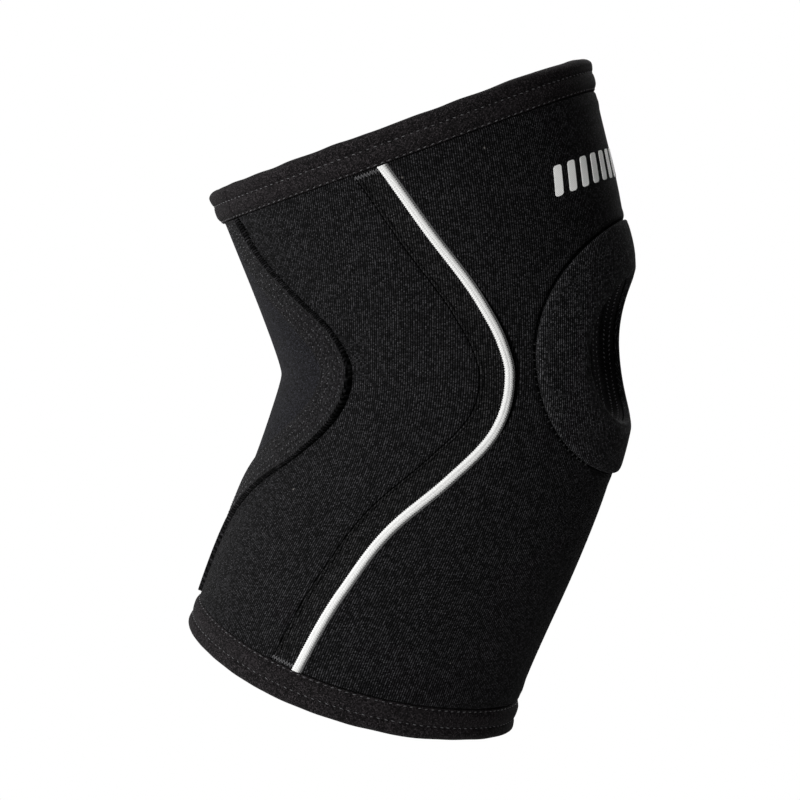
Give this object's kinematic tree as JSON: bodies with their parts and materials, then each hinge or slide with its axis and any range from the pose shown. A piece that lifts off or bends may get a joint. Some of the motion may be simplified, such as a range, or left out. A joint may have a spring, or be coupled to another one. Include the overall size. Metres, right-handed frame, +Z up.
{
  "type": "knee sleeve with an open kneecap",
  "caption": "Pre-bent neoprene knee support sleeve with an open padded kneecap ring, a thin knit insert behind the knee, side piping and bound hems.",
  "frame": {"origin": "centre of the knee, on the axis the knee bends about, midway between front and back and between the two sides", "axes": "+X to the front (the kneecap side), +Z up the thigh, +Y to the left side; the sleeve is mirror-symmetric about the XZ plane"},
  "size_m": [0.162, 0.1308, 0.2429],
  "materials": {
    "neoprene_knit": "matt fine-ribbed knit over neoprene foam",
    "pad_knit": "matt fine-ribbed knit, domed over foam",
    "strip_knit": "matt dense knit",
    "insert_knit": "soft thin knit, faintly bluish",
    "seam_tape": "coverstitched elastic tape",
    "hem_binding": "folded knit binding with two rows of stitches",
    "reflective_piping": "white woven braid with a soft sheen",
    "pad_foam": "soft foam",
    "thread": "polyester thread",
    "print_film": "thin light grey transfer film"
  },
  "bodies": {
    "thigh": {"front_panel_thigh": "neoprene_knit", "popliteal_insert_thigh": "insert_knit", "thigh_hem": "hem_binding", "side_panel_left_thigh": "neoprene_knit", "side_panel_right_thigh": "neoprene_knit", "side_strip_left_thigh": "strip_knit", "side_strip_right_thigh": "strip_knit", "popliteal_tape_left_thigh": "seam_tape", "popliteal_tape_right_thigh": "seam_tape", "reflective_piping_left_thigh": "reflective_piping", "reflective_piping_right_thigh": "reflective_piping", "bartack_left_thigh": "thread", "bartack_right_thigh": "thread", "patella_pad_cover": "pad_knit", "patella_pad_core": "pad_foam", "patella_opening_lining": "seam_tape", "thigh_print": "print_film"},
    "calf": {"front_panel_calf": "neoprene_knit", "popliteal_insert_calf": "insert_knit", "calf_hem": "hem_binding", "side_panel_left_calf": "neoprene_knit", "side_panel_right_calf": "neoprene_knit", "side_strip_left_calf": "strip_knit", "side_strip_right_calf": "strip_knit", "popliteal_tape_left_calf": "seam_tape", "popliteal_tape_right_calf": "seam_tape", "reflective_piping_left_calf": "reflective_piping", "reflective_piping_right_calf": "reflective_piping", "bartack_left_calf": "thread", "bartack_right_calf": "thread"}
  },
  "joints": [
    {"name": "knee_flexion", "type": "hinge", "parent": "thigh", "child": "calf", "pos_m": [0, 0, 0], "axis": [0, 1, 0], "range_deg": [-36, 65], "stiffness_Nm_per_rad": 1.2, "deforming": ["front_panel_thigh", "popliteal_insert_thigh", "side_panel_left_thigh", "side_panel_right_thigh", "side_strip_left_thigh", "side_strip_right_thigh", "popliteal_tape_left_thigh", "popliteal_tape_right_thigh", "reflective_piping_left_thigh", "reflective_piping_right_thigh", "patella_pad_cover", "patella_pad_core", "patella_opening_lining", "front_panel_calf", "popliteal_insert_calf", "side_panel_left_calf", "side_panel_right_calf", "side_strip_left_calf", "side_strip_right_calf", "popliteal_tape_left_calf", "popliteal_tape_right_calf", "reflective_piping_left_calf", "reflective_piping_right_calf"]}
  ]
}
